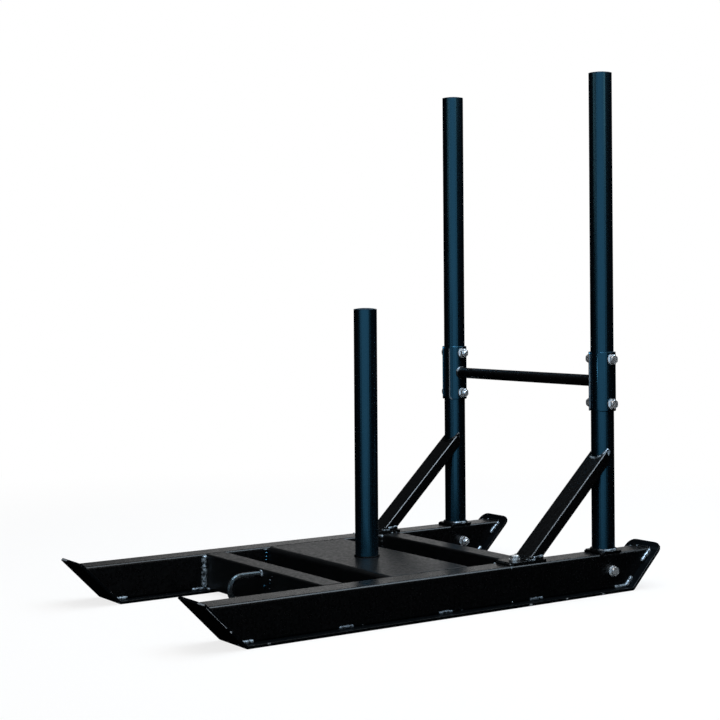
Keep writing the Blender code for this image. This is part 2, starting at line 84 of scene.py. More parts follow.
# %% [markdown]
# ## Moulded plugs: a first finish from nodes
#
# The tubes' ends are closed by moulded plastic plugs, pebbled by the mould. A finish like this
# could be painted as a picture, but a picture needs unwrapping and shows its seams. A noise that
# is computed in object space has no seams, and the size of its lumps can be given in metres.
#
# `finish` makes a material, `grain` adds a noise, `between` spreads that noise between two
# colours, and `relief` turns it into bumps. The plain values that `finish` takes stay on the
# sockets, for a viewer that computes no noise. The plugs mirror the studio in blue, as tubes do.

# %% Moulded plugs
PLUG_SHEEN = (0.19, 0.62, 1.0)


def finish(name, colour, roughness, metallic=0.0):
    """Material with a Principled shader: returns it, its tree and the shader."""
    made = bpy.data.materials.new(name)
    made.use_nodes = True
    tree = made.node_tree
    shader = tree.nodes["Principled BSDF"]
    shader.inputs["Base Color"].default_value = (*colour, 1)
    shader.inputs["Roughness"].default_value = roughness
    shader.inputs["Metallic"].default_value = metallic
    return made, tree, shader


def grain(tree, size, detail):
    """Noise whose lumps are about `size` metres across."""
    place = tree.nodes.new("ShaderNodeTexCoord")
    speckle = tree.nodes.new("ShaderNodeTexNoise")
    speckle.inputs["Scale"].default_value = 1 / size
    speckle.inputs["Detail"].default_value = detail
    tree.links.new(place.outputs["Object"], speckle.inputs["Vector"])
    return speckle.outputs["Fac"]


def between(tree, source, low, high, start=0.35, end=0.65):
    """Spreads a noise between two colours, or between two greys used as numbers."""
    spread = tree.nodes.new("ShaderNodeValToRGB")
    spread.color_ramp.elements[0].position = start
    spread.color_ramp.elements[1].position = end
    spread.color_ramp.elements[0].color = (*low, 1)
    spread.color_ramp.elements[1].color = (*high, 1)
    tree.links.new(source, spread.inputs["Fac"])
    return spread.outputs["Color"]


def relief(tree, shader, source, depth, strength):
    """Turns a noise into bumps `depth` metres high."""
    bump = tree.nodes.new("ShaderNodeBump")
    bump.inputs["Strength"].default_value = strength
    bump.inputs["Distance"].default_value = depth
    tree.links.new(source, bump.inputs["Height"])
    tree.links.new(bump.outputs["Normal"], shader.inputs["Normal"])


plug_plastic, tree, shader = finish("moulded_black_plastic", (0.014, 0.015, 0.016), 0.5)
shader.inputs["IOR"].default_value = 1.64
shader.inputs["Specular Tint"].default_value = (*PLUG_SHEEN, 1)
tree.links.new(
    between(tree, grain(tree, 0.012, 3), (0.012, 0.013, 0.014), (0.020, 0.021, 0.023)),
    shader.inputs["Base Color"],
)
relief(tree, shader, grain(tree, 0.0009, 2), 0.00015, 0.7)
print(plug_plastic.name, "made of", len(tree.nodes), "nodes")

# %% [markdown]
# ## Zinc plate
#
# The bolts, nuts and washers are bright zinc plate: a metal with a faint haze, patchy where hands
# and spanners have been. A metal could simply mirror everything, but plate is never that clean. So
# one noise spreads the colour, another the haze, and a very shallow relief breaks up the mirror.

# %% Zinc plate
ZINC = (0.80, 0.83, 0.86)
ZINC_DULL = (0.74, 0.78, 0.82)
ZINC_BRIGHT = (0.84, 0.87, 0.90)
HAZE = (0.15, 0.21)

zinc_plate, tree, shader = finish("zinc_plate", ZINC, 0.26, 0.86)
least, most = [(level, level, level) for level in HAZE]
tree.links.new(between(tree, grain(tree, 0.012, 3), least, most), shader.inputs["Roughness"])
tree.links.new(
    between(tree, grain(tree, 0.020, 3), ZINC_DULL, ZINC_BRIGHT), shader.inputs["Base Color"],
)
relief(tree, shader, grain(tree, 0.0008, 2), 0.00001, 0.2)
print(zinc_plate.name, "made of", len(tree.nodes), "nodes")

# %% [markdown]
# ## Black powder coat
#
# Powder coat is paint sprayed on dry and baked. It is satin, never mirror smooth: up close it has
# the dimples of orange peel, about a millimetre across. A fine noise makes that peel, and a
# coarser one mottles the gloss, because the powder lies thicker in some places than in others.
# The colour itself stays near black: the greys that one sees on a black sled are reflections.
#
# Worn paint could be cut out as separate pieces of steel, but a mask that runs from 0 on sound
# paint to 1 on bare steel is simpler and fades softly at its edge. So `powder_coat` takes an
# optional function that draws such a mask. `ramp` turns one number smoothly into another.

# %% Black powder coat
BLACK = (0.0004, 0.0004, 0.0006)
BLACK_THIN = (0.0002, 0.0002, 0.0003)
BLACK_THICK = (0.0006, 0.0006, 0.0008)
STEEL = (0.42, 0.46, 0.50)
PEEL_SIZE = 0.0014
PEEL_DEPTH = 0.00012


def ramp(tree, source, start, end, low, high):
    """Smooth step of one number into another."""
    step = tree.nodes.new("ShaderNodeMapRange")
    step.interpolation_type = "SMOOTHSTEP"
    for name, value in (("From Min", start), ("From Max", end), ("To Min", low), ("To Max", high)):
        step.inputs[name].default_value = value
    tree.links.new(source, step.inputs["Value"])
    return step.outputs["Result"]


def powder_coat(name, roughness=0.30, ior=1.45, sheen=(1, 1, 1), mottle=0.035, peel=0.6,
                worn=None, bare=0.7):
    """Black coat; worn(tree) gives a mask of places painted as steel: wear, and on skids and clamps
    also painted highlight.
    """
    made, tree, shader = finish(name, BLACK, roughness)
    shader.inputs["IOR"].default_value = ior
    shader.inputs["Specular Tint"].default_value = (*sheen, 1)
    patches = grain(tree, 0.006, 4)
    gloss = ramp(tree, patches, 0.35, 0.65, roughness - mottle, roughness + mottle)
    tree.links.new(gloss, shader.inputs["Roughness"])
    relief(tree, shader, grain(tree, PEEL_SIZE, 2), PEEL_DEPTH, peel)
    black = between(tree, grain(tree, 0.045, 3), BLACK_THIN, BLACK_THICK)
    if worn is None:
        tree.links.new(black, shader.inputs["Base Color"])
        return made
    mask = worn(tree)
    paint = tree.nodes.new("ShaderNodeMix")
    paint.data_type = "RGBA"
    tree.links.new(mask, paint.inputs["Factor"])
    tree.links.new(black, paint.inputs["A"])
    paint.inputs["B"].default_value = (*STEEL, 1)
    tree.links.new(paint.outputs["Result"], shader.inputs["Base Color"])
    tree.links.new(ramp(tree, mask, 0.0, 1.0, 0.0, bare), shader.inputs["Metallic"])
    return made


smooth_coat = powder_coat("black_powder_coat")
scuffed_coat = powder_coat("scuffed_powder_coat", 0.36, mottle=0.06)
burnt_coat = powder_coat("burnt_powder_coat", 0.50, ior=1.12)
print("sound coats:", smooth_coat.name, scuffed_coat.name, burnt_coat.name)

# %% [markdown]
# ## Blue-black tubes
#
# The round tubes look bluer than the flat faces: each carries a wide teal band where it mirrors
# the light beside the camera. A blue base colour would turn the whole tube blue. A tinted sheen
# colours only the reflection and keeps the margins black. The coat has a high index of refraction
# as well, to mirror more, and hardly any peel, because powder flows out smooth on a round tube.

# %% Blue-black tubes
TUBE_COAT = {
    "roughness": 0.27, "ior": 1.89, "sheen": (0.19, 0.66, 1.0), "mottle": 0.006, "peel": 0.08,
}
round_coat = powder_coat("blue_black_powder_coat", **TUBE_COAT)
print(round_coat.name, "tints what it mirrors by", TUBE_COAT["sheen"])

# %% [markdown]
# ## Skid wear and a painted floor reflection
#
# A sled is pulled over turf and concrete, and its skids show it with chips along the lower edge.
# The thin lines up the front end are a painted reflection: steel painted where that edge would
# mirror the pale floor. A noise alone can't put a mark where it really is. So the mask measures how
# far each point lies from a short line, and is 1 along that line and 0 a few millimetres away.
# `beside` builds that measure from nodes, `combine` joins several of them, and `either_side` folds
# the right half of the sled onto the left one, to mark both skids alike.

# %% Skid wear and a painted floor reflection
# On the clamps and up the skids' front ends this share is painted highlight at full strength.
FULL_STRENGTH = 0.4  # share of a mark's reach that is worn right through
SKID_CHIPS_AND_REFLECTION = (
    ((0.310, 0.1885, 0.0030), (0.310, 0.1935, 0.0030), 0.0020),
    ((0.310, 0.2880, 0.0042), (0.310, 0.2910, 0.0042), 0.0016),
    ((0.310, 0.3905, 0.0023), (0.310, 0.3935, 0.0023), 0.0018),
    ((0.310, -0.4380, 0.0056), (0.310, -0.4340, 0.0056), 0.0018),
    ((0.285, -0.5690, 0.0902), (0.307, -0.5685, 0.0895), 0.0022),
    # These two thin lines up the front end are a painted reflection of the floor, not wear.
    ((0.310, -0.5380, 0.0565), (0.310, -0.5250, 0.0440), 0.0006),
    ((0.310, -0.5660, 0.0845), (0.310, -0.5395, 0.0580), 0.0004),
    ((0.310, -0.5165, 0.0362), (0.310, -0.5155, 0.0352), 0.0019),
)


def combine(tree, operation, *sources):
    """Joins numbers two by two: MAXIMUM, MULTIPLY or ADD."""
    joined = sources[0]
    for source in sources[1:]:
        pair = tree.nodes.new("ShaderNodeMath")
        pair.operation = operation
        pair.use_clamp = True
        tree.links.new(joined, pair.inputs[0])
        tree.links.new(source, pair.inputs[1])
        joined = pair.outputs["Value"]
    return joined


def either_side(tree):
    """Place on the sled with the right half folded onto the left one."""
    place = tree.nodes.new("ShaderNodeTexCoord")
    apart = tree.nodes.new("ShaderNodeSeparateXYZ")
    tree.links.new(place.outputs["Object"], apart.inputs["Vector"])
    fold = tree.nodes.new("ShaderNodeMath")
    fold.operation = "ABSOLUTE"
    tree.links.new(apart.outputs["X"], fold.inputs[0])
    again = tree.nodes.new("ShaderNodeCombineXYZ")
    tree.links.new(fold.outputs["Value"], again.inputs["X"])
    tree.links.new(apart.outputs["Y"], again.inputs["Y"])
    tree.links.new(apart.outputs["Z"], again.inputs["Z"])
    return again.outputs["Vector"]


def vector_math(tree, operation, source, constant=(0, 0, 0)):
    """Vector node that works on a source and a constant, where it needs one."""
    made = tree.nodes.new("ShaderNodeVectorMath")
    made.operation = operation
    made.inputs[1].default_value = constant
    tree.links.new(source, made.inputs[0])
    return made


def beside(tree, place, start, end, reach):
    """1 along the line from start to end, down to 0 at `reach` metres from it."""
    start, end = Vector(start), Vector(end)
    way = (end - start).normalized()
    from_start = vector_math(tree, "SUBTRACT", place, start)
    along = vector_math(tree, "DOT_PRODUCT", from_start.outputs["Vector"], way)
    held = tree.nodes.new("ShaderNodeClamp")
    held.inputs["Max"].default_value = (end - start).length
    tree.links.new(along.outputs["Value"], held.inputs["Value"])
    nearest = tree.nodes.new("ShaderNodeVectorMath")
    nearest.operation = "SCALE"
    nearest.inputs[0].default_value = way
    tree.links.new(held.outputs["Result"], nearest.inputs["Scale"])
    gap = vector_math(tree, "DISTANCE", from_start.outputs["Vector"])
    tree.links.new(nearest.outputs["Vector"], gap.inputs[1])
    return ramp(tree, gap.outputs["Value"], reach * FULL_STRENGTH, reach, 1.0, 0.0)


def chips_and_floor_reflection(tree):
    """Mask of a skid: its chips, and the painted floor reflection up its front, broken up by a fine
    noise.
    """
    place = either_side(tree)
    marks = combine(tree, "MAXIMUM", *[beside(tree, place, *mark) for mark in SKID_CHIPS_AND_REFLECTION])
    broken = ramp(tree, grain(tree, 0.003, 2), 0.30, 0.60, 0.45, 1.0)
    return combine(tree, "MULTIPLY", marks, broken)


skid_chip_and_reflection_coat = powder_coat(
    "chipped_and_reflecting_powder_coat", 0.45, ior=1.17, sheen=(0.5, 0.8, 1.0), worn=chips_and_floor_reflection,
)
# Two of these places are the painted floor reflection up the front end.
print(len(SKID_CHIPS_AND_REFLECTION), "worn places on each skid")

# %% [markdown]
# ## A painted highlight on the clamps
#
# The clamps are bolted on over the finished tubes, and slide along them at each change of height.
# Down the front edge of each inner shell and round its foot, a painted highlight stands for the
# light that this rounded edge catches from the pale floor. Two lines, measured as on the skids,
# follow that edge and turn its lower corner. Their places come from the box round the shell, so
# they stay on it if the clamp is moved.

# %% A painted highlight on the clamps
SHELL_CORNER = 0.006
HIGHLIGHT_REACH = 0.0038


def scraped(tree):
    """Mask of a clamp: a painted highlight down the inner shells' front edges and round their feet.
    """
    low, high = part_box("clamp_inner_left")
    place = either_side(tree)
    edge_x = high.x - 0.002
    bend = (edge_x, low.y, low.z + SHELL_CORNER)
    down = beside(tree, place, bend, (edge_x, low.y, high.z - 0.008), HIGHLIGHT_REACH)
    foot = beside(tree, place, bend, (high.x - 0.007, low.y + 0.003, low.z), HIGHLIGHT_REACH)
    patches = ramp(tree, grain(tree, 0.016, 4), 0.30, 0.50, 0.12, 0.28)
    return combine(tree, "MULTIPLY", combine(tree, "MAXIMUM", down, foot), patches)


clamp_highlight_coat = powder_coat("scraped_powder_coat", **TUBE_COAT, worn=scraped, bare=0.1)
print(clamp_highlight_coat.name, "made of", len(clamp_highlight_coat.node_tree.nodes), "nodes")

# %% [markdown]
# ## Rubbed edges and the tow loop
#
# Paint goes first where two faces meet, in short stretches, wherever the edge was knocked. A noise
# with a high threshold gives just that: little of it lies above 0.7, so the bare stretches are few
# and far apart. On the tow loop a hook slides all round and thins the paint everywhere a little:
# the same kind of noise, with a low threshold.

# %% Rubbed edges and the tow loop
def rubbed(tree):
    """Mask of an edge that has been knocked: short bare stretches between painted ones."""
    return ramp(tree, grain(tree, 0.016, 4), 0.68, 0.75, 0.0, 0.7)


def hooked(tree):
    """Mask of the tow loop: the strap's hook has thinned the paint all along it."""
    return ramp(tree, grain(tree, 0.010, 4), 0.30, 0.70, 0.0, 0.035)


rubbed_coat = powder_coat("rubbed_powder_coat", worn=rubbed)
hooked_coat = powder_coat(
    "hooked_powder_coat", 0.26, ior=1.7, sheen=(0.65, 0.88, 1.0), mottle=0.015, peel=0.3,
    worn=hooked,
)
# The skid coat also paints a floor reflection, and the clamp coat an edge highlight.
print("worn coats:", skid_chip_and_reflection_coat.name, clamp_highlight_coat.name, rubbed_coat.name, hooked_coat.name)

# %% [markdown]
# ## Which finish goes where
#
# The frame's nodes are named for their pieces, so a word in the name is enough to choose the
# finish. Fasteners are zinc and plugs are plastic. The deck and the crossbars have the mottled
# coat of faces that plates and feet have scuffed. What is left is plain black.

# %% Which finish goes where
FASTENER_WORDS = ("bolt", "nut", "washer")
ROUND_TUBES = ("upright_left", "upright_right", "weight_post")
chosen = {}
for name, solid in solids.items():
    if any(word in name for word in FASTENER_WORDS):
        coat = zinc_plate
    elif "_cap" in name:
        coat = plug_plastic
    elif "skid" in name:
        coat = skid_chip_and_reflection_coat
    elif "crossbar" in name or "deck" in name:
        coat = scuffed_coat
    elif name.startswith("clamp_"):
        coat = clamp_highlight_coat
    elif name.startswith(ROUND_TUBES):
        coat = round_coat
    elif name == "tow_loop":
        coat = hooked_coat
    else:
        coat = smooth_coat
    solid.data.materials.clear()
    solid.data.materials.append(coat)
    chosen[coat.name] = chosen.get(coat.name, 0) + 1
print("finishes:", chosen)

# %% [markdown]
# ## Edges that catch the light
#
# Sheared and sawn steel never has a knife edge: it is broken with a grinder, and the powder rounds
# it further. That thin round edge draws the bright lines on a black frame. The edges could be
# modelled one by one, but a Bevel modifier adds them all without touching the mesh. The imported
# mesh is split along its sharp edges, so a Weld modifier joins it first.
#
# By default a bevel shrinks everywhere to fit the mesh's shortest edge. Round the clamps' bolt
# holes those edges are tiny, so on the clamps that limit is switched off.

# %% Broken edges
BROKEN_EDGES = {
    "skid": 0.0006,
    "base_plate": 0.0008,
    "brace_foot": 0.0010,
    "brace_pad": 0.0009,
    "clamp": 0.0014,
    "load_deck": 0.0007,
}
SAME_POINT = 0.00001
SHARP = math.radians(40)
broken = []
for name, solid in solids.items():
    if any(word in name for word in FASTENER_WORDS):
        continue
    for word, width in BROKEN_EDGES.items():
        if word in name:
            joined = solid.modifiers.new("joined", "WELD")
            joined.merge_threshold = SAME_POINT
            edge = solid.modifiers.new("broken_edge", "BEVEL")
            edge.width = width
            edge.segments = 2
            edge.limit_method = "ANGLE"
            edge.angle_limit = SHARP
            edge.harden_normals = False
            edge.use_clamp_overlap = word != "clamp"
            # The clamps' bevels take the coat with the painted edge highlight.
            solid.data.materials.append(clamp_highlight_coat if word == "clamp" else rubbed_coat)
            edge.material = 1
            broken.append(name)
print("broken edges on", len(broken), "solids")

# %% [markdown]
# ## Coated weld metal
#
# The beads are coated too, but they look lighter than the plates: partly because the coat is thin
# over each ripple, and partly because a ripple always has some face turned to the lamps. Lighting
# alone can't show that on beads two pixels wide. So the swept mesh will carry a number called
# ripple, 1 on each crest and less behind it, and the finish reads that number to turn each crest
# grey. That is a painted highlight on each crest, with painted shade in the trough behind it.
#
# Not all beads look alike. Some are dim or as black as the plate: partly where the powder lies
# thick, and partly as painted shade where a bead lies in shadow. A bright finish on the stretch of
# a seam that faces the lamps is a painted highlight. Heat left some paint dull, and some spatter
# mirrors blue, like the tubes. Each bead will name one of these five finishes.

# %% Coated weld metal
TROUGH_SHADE = (0.006, 0.010, 0.014)


def bead_coat(name, brightest):
    """Coat on a weld: `brightest` on each crest of its ripples, a painted highlight, and near black
    between them, painted shade.
    """
    made, tree, shader = finish(name, brightest, 0.30, 0.40)
    ripple = tree.nodes.new("ShaderNodeAttribute")
    ripple.attribute_name = "ripple"
    patches = ramp(tree, grain(tree, 0.006, 2), 0.38, 0.56, 0.06, 1.0)
    crest_highlights = combine(tree, "MULTIPLY", ripple.outputs["Fac"], patches)
    tree.links.new(
        between(tree, crest_highlights, TROUGH_SHADE, brightest, 0.05, 0.95), shader.inputs["Base Color"],
    )
    relief(tree, shader, grain(tree, 0.0020, 2), 0.0002, 0.6)
    return made


bright_bead = bead_coat("coated_weld_bead", (0.28, 0.35, 0.41))
dim_bead = bead_coat("thickly_coated_weld_bead", (0.09, 0.12, 0.15))
BEAD_COATS = (bright_bead, dim_bead, smooth_coat, burnt_coat, round_coat)
BRIGHT, DIM, DARK, BURNT, BLUE = range(len(BEAD_COATS))
print("bead coats:", [coat.name for coat in BEAD_COATS])

# %% [markdown]
# ## The run of a weld bead
#
# A weld bead is a row of overlapping puddles. Each froze a moment after the one before, which
# leaves ripples a little longer than the bead's radius. A curve with a round bevel would be a
# smooth worm, and a displaced one would need far more points. So the bead is swept by hand as a
# tube, whose radius swells and drops once for each ripple.
#
# First comes its run: `walk` takes even steps along the seam, and `bead_size` says how full the
# bead is at each step. It tapers off where the arc was struck and where it was stopped.

# %% The run of a weld bead
STEPS_PER_RIPPLE = 5
RIPPLE_DROP = 0.10
TAPERED_END = 0.45


def walk(points, step):
    """Points at even steps along a broken line, with the direction at each."""
    legs = [(a, b, (b - a).length) for a, b in zip(points, points[1:])]
    whole = sum(length for _, _, length in legs)
    count = max(6, round(whole / step))
    stops = []
    for number in range(count + 1):
        left = whole * number / count
        for a, b, length in legs:
            if left <= length or (a, b, length) == legs[-1]:
                stops.append((a.lerp(b, left / length), (b - a).normalized()))
                break
            left -= length
    return stops


def bead_size(puddle, lumpy, from_end):
    """Share of its full radius that a bead has; from_end counts radii from its nearer end."""
    size = (1 - RIPPLE_DROP + RIPPLE_DROP * math.sqrt(1 - puddle)) * lumpy
    return size * min(1, TAPERED_END + (1 - TAPERED_END) * math.sqrt(min(1, from_end)))


print("one ripple in", STEPS_PER_RIPPLE, "steps")

# %% [markdown]
# ## The skin of a weld bead
#
# Then comes its skin: a ring of points round each step, joined to the next ring by faces. A hand
# never holds the torch quite still, so a noise shifts and swells each ring a little. Half of the
# tube sinks into the two plates that it joins, and what stays in sight is the bead.
#
# A bead round a tube has no ends: its last ring meets its first one, turned by as many points as
# it takes for them to lie side by side. `weld` makes one piece of several beads. Its random
# numbers start from its name, and the noise from a seed, so it looks the same each time. `lump`
# is the shortest bead.

# %% The skin of a weld bead
BEAD_SIDES = 12
SHORTEST_RIPPLE = 0.0024
RIPPLE_PER_RADIUS = 1.25
WANDER = 0.15
LUMPINESS = 0.14
# The trough behind each crest is painted darker: painted shade.
DARKER_BEHIND = 0.45  # how much less the trough behind a crest shines
NOISE_SEED = 1  # with none, noise_vector starts from the clock
noise.seed_set(NOISE_SEED)


def bead_faces(bm, rings, closed):
    """Faces between the rings of a bead, and over its ends unless it closes on itself."""
    pairs = list(zip(rings, rings[1:]))
    faces = []
    if closed:
        last, first = rings[-1], rings[0]
        shift = min(range(BEAD_SIDES), key=lambda s: (first[s].co - last[0].co).length)
        pairs.append((last, first[shift:] + first[:shift]))
    else:
        faces.append(bm.faces.new(list(reversed(rings[0]))))
        faces.append(bm.faces.new(rings[-1]))
    for one, two in pairs:
        for here in range(BEAD_SIDES):
            there = (here + 1) % BEAD_SIDES
            faces.append(bm.faces.new((one[here], one[there], two[there], two[here])))
    return faces


def add_bead(bm, chance, points, radius, shine=BRIGHT):
    """Adds one bead to a mesh; a line that ends where it starts makes a ring."""
    points = [Vector(point) for point in points]
    closed = (points[0] - points[-1]).length < SAME_POINT
    step = max(SHORTEST_RIPPLE, RIPPLE_PER_RADIUS * radius) / STEPS_PER_RIPPLE
    offset = Vector([chance.uniform(0, 50) for _ in range(3)])
    stops = walk(points, step)
    if closed:
        stops = stops[:-1]
    crest = bm.verts.layers.float["ripple"]
    side = stops[0][1].orthogonal().normalized()
    rings = []
    for number, (spot, direction) in enumerate(stops):
        side = (side - direction * side.dot(direction)).normalized()
        other = direction.cross(side)
        puddle = (number % STEPS_PER_RIPPLE) / STEPS_PER_RIPPLE
        lumpy = 1 + LUMPINESS * noise.noise(offset + spot * 90)
        from_end = 1 if closed else min(number, len(stops) - 1 - number) * step / radius
        size = bead_size(puddle, lumpy, from_end)
        middle = spot + noise.noise_vector(offset + spot * 150) * radius * WANDER
        ring = []
        for corner in range(BEAD_SIDES):
            turn = 2 * math.pi * corner / BEAD_SIDES
            out = side * math.cos(turn) + other * math.sin(turn)
            ring.append(bm.verts.new(middle + out * radius * size))
            # Painted highlight: 1 on each crest, less in the painted shade behind it.
            ring[-1][crest] = 1 - DARKER_BEHIND * puddle
        rings.append(ring)
    for face in bead_faces(bm, rings, closed):
        face.material_index = shine


def weld(name, beads):
    """One piece made of several beads; each is (points, radius) or (points, radius, shine)."""
    bm = bmesh.new()
    bm.verts.layers.float.new("ripple")
    chance = random.Random(name)
    for bead in beads:
        add_bead(bm, chance, *bead)
    bmesh.ops.recalc_face_normals(bm, faces=bm.faces)
    mesh = bpy.data.meshes.new(name)
    bm.to_mesh(mesh)
    bm.free()
    mesh.shade_smooth()
    for coat in BEAD_COATS:
        mesh.materials.append(coat)
    made = bpy.data.objects.new(name, mesh)
    bpy.context.scene.collection.objects.link(made)
    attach(made, "root")
    print(name, "has", len(beads), "beads and", len(mesh.polygons), "faces")


def lump(centre, radius, reach, shine=BRIGHT):
    """Short bead about a point: where the welder struck or stopped the arc."""
    centre, reach = Vector(centre), Vector(reach)
    return (centre - reach, centre + reach), radius, shine


print("a bead has", BEAD_SIDES, "sides")

# %% [markdown]
# ## Stitches between rail and skid
#
# Long welds would warp a thin flat bar, so the rails are stitched to the skids: short beads with
# gaps between them, on both sides of each rail. Only the foremost stitch shines. At the rear a
# bead turns the corner where the skid bends up, thin on the flat and full on the slope.

# %% Stitches between rail and skid
SIDES = (("left", 1), ("right", -1))
STITCHES = ((-0.490, -0.457), (-0.269, -0.235), (-0.031, 0.004), (0.206, 0.241))
STITCH_RADIUS = 0.0040
BEND_STITCH = 0.034
SEAM_OUT = 0.0008  # from the rail's face to the bead's middle
SEAM_UP = 0.0022  # from the skid's top to the bead's middle

rail_low, rail_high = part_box("rail_left")
rail_middle = (rail_low.x + rail_high.x) / 2
rail_half = (rail_high.x - rail_low.x) / 2
skid_top = rail_low.z
rail_top = rail_high.z
rear_corner = rail_high.y - (rail_top - skid_top)
seam_z = skid_top + SEAM_UP


def rail_stitches(sign):
    """Beads along both sides of a rail's foot; sign is 1 on the left and -1 on the right."""
    stitches = []
    for face in (-1, 1):
        x = sign * rail_middle + face * (rail_half + SEAM_OUT)
        for start, end in STITCHES:
            shine = BRIGHT if start == STITCHES[0][0] else DIM
            stitches.append((((x, start, seam_z), (x, end, seam_z)), STITCH_RADIUS, shine))
        bend = (x, rear_corner - 0.003, seam_z)
        stitches.append((((x, rear_corner - BEND_STITCH, seam_z), bend), 0.0036))
        stitches.append((
            (bend, (x, rear_corner + 0.0015, seam_z + 0.003),
             (x, rear_corner + 0.016, seam_z + 0.0175)),
            0.0043,
        ))
    return stitches


print("stitches start at", [round(1000 * start) for start, _ in STITCHES], "mm")

# %% [markdown]
# ## The rails' sawn ends
#
# A rail is sawn at a slope and lies with its ends against the turned-up skid. Beads hold the top
# of the rear end on either side, and a short one across the rail's top closes each joint. The one
# at the rear is ground nearly flush and as black as the paint, but for a lump left at its side.

# %% The rails' sawn ends
def rail_ends(sign):
    """Beads at both ends of one rail."""
    ends = []
    for face in (-1, 1):
        x = sign * rail_middle + face * (rail_half + SEAM_OUT)
        ends.append((
            ((x, rear_corner + 0.045, skid_top + 0.0495),
             (x, rear_corner + 0.071, skid_top + 0.0735)),
            0.0042,
        ))
    right_end, left_end = [sign * rail_middle + face * (rail_half - 0.002) for face in (-1, 1)]
    front, rear = rail_low.y + 0.0005, rail_high.y - 0.0005
    proud = rail_top + 0.0012
    ends.append((((right_end, front, proud), (left_end, front, proud)), 0.0038))
    ends.append((((right_end, rear, rail_top), (left_end, rear, rail_top)), 0.0030, DARK))
    ends.append(lump((sign * rail_middle - 0.012, rear - 0.002, proud), 0.0022, (0.0015, 0, 0)))
    return ends


print("the skids bend up at", round(1000 * rear_corner), "mm")

# %% [markdown]
# ## Spatter on the rails
#
# Welding throws off small drops of metal. Where they land on a cold plate they stick, and a
# hurried grinder leaves a few. Each is a single lump, two or three millimetres across, half sunk
# into the outer face of the rail. With them all that a rail needs is ready, and both are welded.

# %% Spatter, and both rails welded
SPATTER = ((0.159, 0.0024, 0.0016, 0.0006), (-0.214, 0.0020, 0.0012, 0.0005),
           (0.027, 0.0018, 0.0011, 0.0005))  # along the rail, up from the skid, radius, reach
for side, sign in SIDES:
    weld(f"rail_stitch_welds_{side}", rail_stitches(sign))
    weld(f"rail_end_welds_{side}", rail_ends(sign))
    x = sign * (rail_middle + rail_half + 0.0006)
    weld(f"rail_spatter_{side}", [
        lump((x, y, skid_top + rise), radius, (0, reach, 0)) for y, rise, radius, reach in SPATTER
    ])

# %% [markdown]
# ## The front crossbar
#
# The front crossbar takes the pull of the tow strap, so it is welded all the way up at each end,
# with a fat bright bead in front and a lump on top, where the arc was stopped. From its foot one
# bead runs forward along the rail and another along the bar. The rear corners have a thinner
# bead, as black as the paint.

# %% The front crossbar
CORNER_RADIUS = 0.0050
CORNER_OUT = 0.0012  # from the crossbar's face to the bead's middle
inner_side = rail_middle - rail_half


def crossbar_end(x, low, high, out=CORNER_OUT, radius=CORNER_RADIUS, shine=DARK):
    """Beads up the front and the rear of a crossbar's end; out, radius, shine: the front one's."""
    corners = ((low.y - out, radius, shine), (high.y + CORNER_OUT, CORNER_RADIUS, DARK))
    upright = [
        (((x, y, low.z + 0.002), (x, y, high.z - 0.003)), thick, coat) for y, thick, coat in corners
    ]
    return [*upright, lump((x, low.y - 0.0005, high.z - 0.005), 0.0056, (0, 0, 0.003))]


low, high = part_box("front_crossbar")
beads = []
for sign in (-1, 1):
    x = sign * (inner_side - 0.0018)
    beads += crossbar_end(x, low, high, 0.0045, 0.0062, BRIGHT)
    rail_x, rail_z = sign * (inner_side - 0.001), low.z + 0.0017
    beads.append((((rail_x, low.y - 0.034, rail_z), (rail_x, low.y - 0.002, rail_z)), 0.0028))
    bar_y, bar_z = low.y - 0.0008, low.z + 0.0012
    beads.append((((x, bar_y, bar_z), (sign * (inner_side - 0.018), bar_y, bar_z)), 0.0028))
weld("front_crossbar_welds", beads)

# %% [markdown]
# ## The rear crossbar
#
# The rear crossbar carries less. Its upright beads are black: powder lies over them, and the
# black coat is also painted shade, since they lie in shadow. Only the lumps at their tops show,
# and two dabs on top that tacked the bar to the rail before it was welded.

# %% The rear crossbar
TACKS_BEHIND_FRONT = (0.029, 0.041)
low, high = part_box("rear_crossbar")
beads = []
for sign in (-1, 1):
    x = sign * (inner_side - 0.0018)
    # Black coat on these beads: partly painted shade.
    beads += crossbar_end(x, low, high)
    for behind in TACKS_BEHIND_FRONT:
        beads.append(lump((sign * inner_side, low.y + behind, high.z), 0.0028, (0, 0.0022, 0)))
weld("rear_crossbar_welds", beads)

# %% [markdown]
# ## Spatter beside the tow loop
#
# The tow loop was welded on last, and its spatter stuck to the crossbar's face beside the loop.
# The drops differ in size and in how thick the powder lies on them, so each has its own radius
# and finish.

# %% Spatter beside the tow loop
front_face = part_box("front_crossbar")[0].y
weld("front_crossbar_spatter", [
    lump((0.0180, front_face, 0.0475), 0.0052, (0.0014, 0, 0), BLUE),
    lump((0.0455, front_face, 0.0715), 0.0016, (0, 0, 0.0010), DIM),
    lump((0.0372, front_face, 0.0632), 0.0030, (0, 0, 0.0016)),
    lump((0.0365, front_face, 0.0572), 0.0022, (0, 0, 0.0010), BLUE),
    lump((0.0355, front_face, 0.0457), 0.0022, (0, 0, 0.0010), DIM),
])

# %% [markdown]
# ## The load deck
#
# The deck's folded flanges butt against the rails. At the front it is held by a row of dabs down
# the flange instead of one long bead, because the thin plate would pull. The topmost dab shines
# and those below it mirror blue. At the rear a plain bead lies in the dark.

